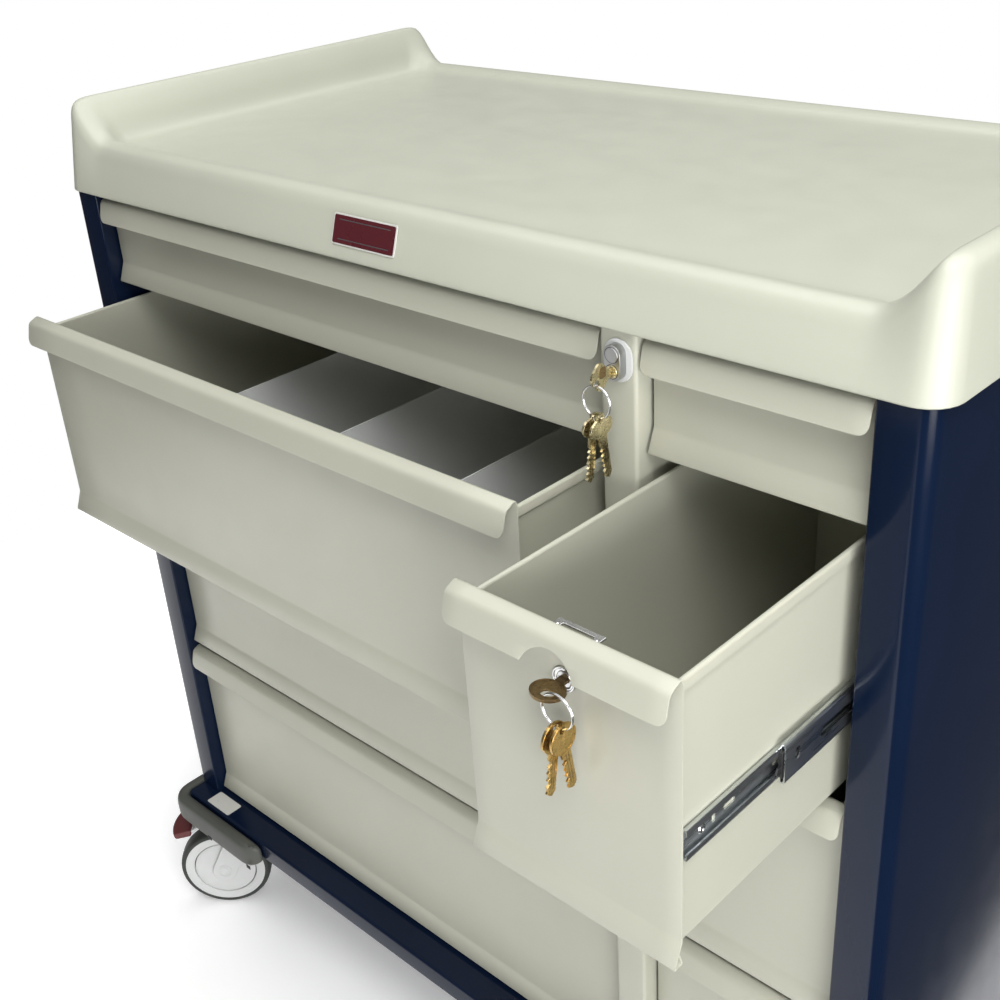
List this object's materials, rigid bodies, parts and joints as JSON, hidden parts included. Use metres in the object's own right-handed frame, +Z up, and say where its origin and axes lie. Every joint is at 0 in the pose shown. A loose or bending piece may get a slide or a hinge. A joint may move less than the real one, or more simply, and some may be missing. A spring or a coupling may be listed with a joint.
{
  "type": "medication cart",
  "caption": "Two-column medication cart on casters with drawers on ball-bearing slides, pull lips, cam locks with keys, corner bumpers and a moulded tray worktop.",
  "frame": {"origin": "centre of the footprint of the whole cart at floor level, drawers as posed", "axes": "+X to the right seen from the drawer side, +Y from the drawer side to the back, +Z up"},
  "size_m": [1.0688, 0.784, 1.13],
  "materials": {
    "left_side_panel": "navy gloss powder coat",
    "right_side_panel": "navy gloss powder coat",
    "centre_partition": "putty powder coat",
    "centre_post": "putty powder coat",
    "back_panel": "navy gloss powder coat",
    "base_pan": "navy gloss powder coat",
    "ledge_label": "plain white label",
    "worktop": "moulded putty plastic, satin",
    "name_plate": "maroon enamel",
    "front_left_bumper": "grey vinyl",
    "front_right_bumper": "grey vinyl",
    "rear_left_bumper": "grey vinyl",
    "rear_right_bumper": "grey vinyl",
    "front_left_caster_fork": "pale grey plastic housing",
    "front_left_caster_wheel": "grey-black tread",
    "front_left_caster_brake_pedal": "red plastic",
    "front_right_caster_fork": "pale grey plastic housing",
    "front_right_caster_wheel": "grey-black tread",
    "front_right_caster_brake_pedal": "red plastic",
    "rear_left_caster_fork": "pale grey plastic housing",
    "rear_left_caster_wheel": "grey-black tread",
    "rear_right_caster_fork": "pale grey plastic housing",
    "rear_right_caster_wheel": "grey-black tread",
    "left_drawer_1_box": "putty powder coat",
    "left_drawer_1_front": "putty powder coat",
    "left_drawer_2_box": "putty powder coat",
    "left_drawer_2_front": "putty powder coat",
    "left_drawer_2_left_slide_member": "zinc plated",
    "left_drawer_2_right_slide_member": "zinc plated",
    "left_drawer_3_box": "putty powder coat",
    "left_drawer_3_front": "putty powder coat",
    "left_drawer_4_box": "putty powder coat",
    "left_drawer_4_front": "putty powder coat",
    "right_drawer_1_box": "putty powder coat",
    "right_drawer_1_front": "putty powder coat",
    "right_drawer_2_box": "putty powder coat",
    "right_drawer_2_front": "putty powder coat",
    "right_drawer_2_left_slide_member": "zinc plated",
    "right_drawer_2_right_slide_member": "zinc plated",
    "right_drawer_3_box": "putty powder coat",
    "right_drawer_3_front": "putty powder coat",
    "right_drawer_4_box": "putty powder coat",
    "right_drawer_4_front": "putty powder coat",
    "divider_1": "pale grey",
    "divider_2": "pale grey",
    "divider_3": "pale grey",
    "main_lock_housing": "zinc plated",
    "main_lock_key": "nickel brass",
    "main_key_ring": "bright steel wire",
    "main_spare_key_1": "nickel brass",
    "main_spare_key_2": "nickel brass",
    "drawer_lock_housing": "bright chrome",
    "drawer_lock_key": "nickel brass",
    "drawer_key_ring": "bright steel wire",
    "drawer_spare_key_1": "nickel brass",
    "drawer_spare_key_2": "nickel brass",
    "lock_bolt_guide": "zinc plated"
  },
  "bodies": {
    "cart": {"left_side_panel": "left_side_panel", "right_side_panel": "right_side_panel", "centre_partition": "centre_partition", "centre_post": "centre_post", "back_panel": "back_panel", "base_pan": "base_pan", "ledge_label": "ledge_label", "worktop": "worktop", "name_plate": "name_plate", "front_left_bumper": "front_left_bumper", "front_right_bumper": "front_right_bumper", "rear_left_bumper": "rear_left_bumper", "rear_right_bumper": "rear_right_bumper", "main_lock_housing": "main_lock_housing"},
    "left_drawer_1": {"left_drawer_1_box": "left_drawer_1_box", "left_drawer_1_front": "left_drawer_1_front"},
    "left_drawer_2": {"left_drawer_2_box": "left_drawer_2_box", "left_drawer_2_front": "left_drawer_2_front", "divider_1": "divider_1", "divider_2": "divider_2", "divider_3": "divider_3"},
    "left_drawer_3": {"left_drawer_3_box": "left_drawer_3_box", "left_drawer_3_front": "left_drawer_3_front"},
    "left_drawer_4": {"left_drawer_4_box": "left_drawer_4_box", "left_drawer_4_front": "left_drawer_4_front"},
    "right_drawer_1": {"right_drawer_1_box": "right_drawer_1_box", "right_drawer_1_front": "right_drawer_1_front"},
    "right_drawer_2": {"right_drawer_2_box": "right_drawer_2_box", "right_drawer_2_front": "right_drawer_2_front", "drawer_lock_housing": "drawer_lock_housing", "lock_bolt_guide": "lock_bolt_guide"},
    "right_drawer_3": {"right_drawer_3_box": "right_drawer_3_box", "right_drawer_3_front": "right_drawer_3_front"},
    "right_drawer_4": {"right_drawer_4_box": "right_drawer_4_box", "right_drawer_4_front": "right_drawer_4_front"},
    "left_drawer_2_left_member": {"left_drawer_2_left_slide_member": "left_drawer_2_left_slide_member"},
    "left_drawer_2_right_member": {"left_drawer_2_right_slide_member": "left_drawer_2_right_slide_member"},
    "right_drawer_2_left_member": {"right_drawer_2_left_slide_member": "right_drawer_2_left_slide_member"},
    "right_drawer_2_right_member": {"right_drawer_2_right_slide_member": "right_drawer_2_right_slide_member"},
    "front_left_caster": {"front_left_caster_fork": "front_left_caster_fork"},
    "front_left_wheel": {"front_left_caster_wheel": "front_left_caster_wheel"},
    "front_right_caster": {"front_right_caster_fork": "front_right_caster_fork"},
    "front_right_wheel": {"front_right_caster_wheel": "front_right_caster_wheel"},
    "rear_left_caster": {"rear_left_caster_fork": "rear_left_caster_fork"},
    "rear_left_wheel": {"rear_left_caster_wheel": "rear_left_caster_wheel"},
    "rear_right_caster": {"rear_right_caster_fork": "rear_right_caster_fork"},
    "rear_right_wheel": {"rear_right_caster_wheel": "rear_right_caster_wheel"},
    "front_left_pedal": {"front_left_caster_brake_pedal": "front_left_caster_brake_pedal"},
    "front_right_pedal": {"front_right_caster_brake_pedal": "front_right_caster_brake_pedal"},
    "main_key": {"main_lock_key": "main_lock_key"},
    "main_ring": {"main_key_ring": "main_key_ring"},
    "main_spare_1": {"main_spare_key_1": "main_spare_key_1"},
    "main_spare_2": {"main_spare_key_2": "main_spare_key_2"},
    "drawer_key": {"drawer_lock_key": "drawer_lock_key"},
    "drawer_ring": {"drawer_key_ring": "drawer_key_ring"},
    "drawer_spare_1": {"drawer_spare_key_1": "drawer_spare_key_1"},
    "drawer_spare_2": {"drawer_spare_key_2": "drawer_spare_key_2"}
  },
  "joints": [
    {"name": "left_drawer_1_slide", "type": "slide", "parent": "cart", "child": "left_drawer_1", "axis": [0, -1, 0], "range_m": [0, 0.4]},
    {"name": "left_drawer_2_slide", "type": "slide", "parent": "cart", "child": "left_drawer_2", "axis": [0, -1, 0], "range_m": [-0.1126, 0.2874]},
    {"name": "left_drawer_3_slide", "type": "slide", "parent": "cart", "child": "left_drawer_3", "axis": [0, -1, 0], "range_m": [0, 0.4]},
    {"name": "left_drawer_4_slide", "type": "slide", "parent": "cart", "child": "left_drawer_4", "axis": [0, -1, 0], "range_m": [0, 0.4]},
    {"name": "right_drawer_1_slide", "type": "slide", "parent": "cart", "child": "right_drawer_1", "axis": [0, -1, 0], "range_m": [0, 0.4]},
    {"name": "right_drawer_2_slide", "type": "slide", "parent": "cart", "child": "right_drawer_2", "axis": [0, -1, 0], "range_m": [-0.2169, 0.1831]},
    {"name": "right_drawer_3_slide", "type": "slide", "parent": "cart", "child": "right_drawer_3", "axis": [0, -1, 0], "range_m": [0, 0.4]},
    {"name": "right_drawer_4_slide", "type": "slide", "parent": "cart", "child": "right_drawer_4", "axis": [0, -1, 0], "range_m": [0, 0.4]},
    {"name": "left_drawer_2_left_member_slide", "type": "slide", "parent": "cart", "child": "left_drawer_2_left_member", "axis": [0, -1, 0], "range_m": [-0.0563, 0.1437]},
    {"name": "left_drawer_2_right_member_slide", "type": "slide", "parent": "cart", "child": "left_drawer_2_right_member", "axis": [0, -1, 0], "range_m": [-0.0563, 0.1437]},
    {"name": "right_drawer_2_left_member_slide", "type": "slide", "parent": "cart", "child": "right_drawer_2_left_member", "axis": [0, -1, 0], "range_m": [-0.10845, 0.09155]},
    {"name": "right_drawer_2_right_member_slide", "type": "slide", "parent": "cart", "child": "right_drawer_2_right_member", "axis": [0, -1, 0], "range_m": [-0.10845, 0.09155]},
    {"name": "front_left_swivel", "type": "hinge", "parent": "cart", "child": "front_left_caster", "pos_m": [-0.44487, -0.12928, 0.15], "axis": [0, 0, 1], "continuous": true},
    {"name": "front_left_spin", "type": "hinge", "parent": "front_left_caster", "child": "front_left_wheel", "pos_m": [-0.47518, -0.15835, 0.0635], "axis": [0.6921, -0.7218, 0], "continuous": true},
    {"name": "front_left_brake", "type": "hinge", "parent": "front_left_caster", "child": "front_left_pedal", "pos_m": [-0.46724, -0.15073, 0.149], "axis": [0.6921, -0.7218, 0], "range_deg": [-18, 0]},
    {"name": "front_right_swivel", "type": "hinge", "parent": "cart", "child": "front_right_caster", "pos_m": [0.46513, -0.12928, 0.15], "axis": [0, 0, 1], "continuous": true},
    {"name": "front_right_spin", "type": "hinge", "parent": "front_right_caster", "child": "front_right_wheel", "pos_m": [0.43482, -0.15835, 0.0635], "axis": [0.6921, -0.7218, 0], "continuous": true},
    {"name": "front_right_brake", "type": "hinge", "parent": "front_right_caster", "child": "front_right_pedal", "pos_m": [0.44276, -0.15073, 0.149], "axis": [0.6921, -0.7218, 0], "range_deg": [-18, 0]},
    {"name": "rear_left_swivel", "type": "hinge", "parent": "cart", "child": "rear_left_caster", "pos_m": [-0.44487, 0.31072, 0.15], "axis": [0, 0, 1], "continuous": true},
    {"name": "rear_left_spin", "type": "hinge", "parent": "rear_left_caster", "child": "rear_left_wheel", "pos_m": [-0.47518, 0.28165, 0.0635], "axis": [0.6921, -0.7218, 0], "continuous": true},
    {"name": "rear_right_swivel", "type": "hinge", "parent": "cart", "child": "rear_right_caster", "pos_m": [0.46513, 0.31072, 0.15], "axis": [0, 0, 1], "continuous": true},
    {"name": "rear_right_spin", "type": "hinge", "parent": "rear_right_caster", "child": "rear_right_wheel", "pos_m": [0.43482, 0.28165, 0.0635], "axis": [0.6921, -0.7218, 0], "continuous": true},
    {"name": "main_lock_turn", "type": "hinge", "parent": "cart", "child": "main_key", "pos_m": [0.26863, -0.16458, 1.0044], "axis": [0, 1, 0], "range_deg": [-90, 0]},
    {"name": "drawer_lock_turn", "type": "hinge", "parent": "right_drawer_2", "child": "drawer_key", "pos_m": [0.38113, -0.35558, 0.8836], "axis": [0, 1, 0], "range_deg": [0, 90]},
    {"name": "main_ring_swing", "type": "hinge", "parent": "main_key", "child": "main_ring", "pos_m": [0.26863, -0.18728, 0.9991], "axis": [1, 0, 0], "range_deg": [-20, 4]},
    {"name": "drawer_ring_swing", "type": "hinge", "parent": "drawer_key", "child": "drawer_ring", "pos_m": [0.39093, -0.37848, 0.8861], "axis": [1, 0, 0], "range_deg": [-10, 2]},
    {"name": "main_spare_1_swing", "type": "hinge", "parent": "main_ring", "child": "main_spare_1", "pos_m": [0.26603, -0.18728, 0.9737], "axis": [1, 0, 0], "range_deg": [-12, 4]},
    {"name": "main_spare_2_swing", "type": "hinge", "parent": "main_ring", "child": "main_spare_2", "pos_m": [0.27123, -0.18728, 0.9737], "axis": [1, 0, 0], "range_deg": [-12, 4]},
    {"name": "drawer_spare_1_swing", "type": "hinge", "parent": "drawer_ring", "child": "drawer_spare_1", "pos_m": [0.38833, -0.37848, 0.8607], "axis": [1, 0, 0], "range_deg": [-12, 2]},
    {"name": "drawer_spare_2_swing", "type": "hinge", "parent": "drawer_ring", "child": "drawer_spare_2", "pos_m": [0.39353, -0.37848, 0.8607], "axis": [1, 0, 0], "range_deg": [-12, 2]}
  ],
  "couplings": [
    {"joint": "left_drawer_2_left_member_slide", "follows": "left_drawer_2_slide", "ratio": 0.5},
    {"joint": "left_drawer_2_right_member_slide", "follows": "left_drawer_2_slide", "ratio": 0.5},
    {"joint": "right_drawer_2_left_member_slide", "follows": "right_drawer_2_slide", "ratio": 0.5},
    {"joint": "right_drawer_2_right_member_slide", "follows": "right_drawer_2_slide", "ratio": 0.5}
  ]
}
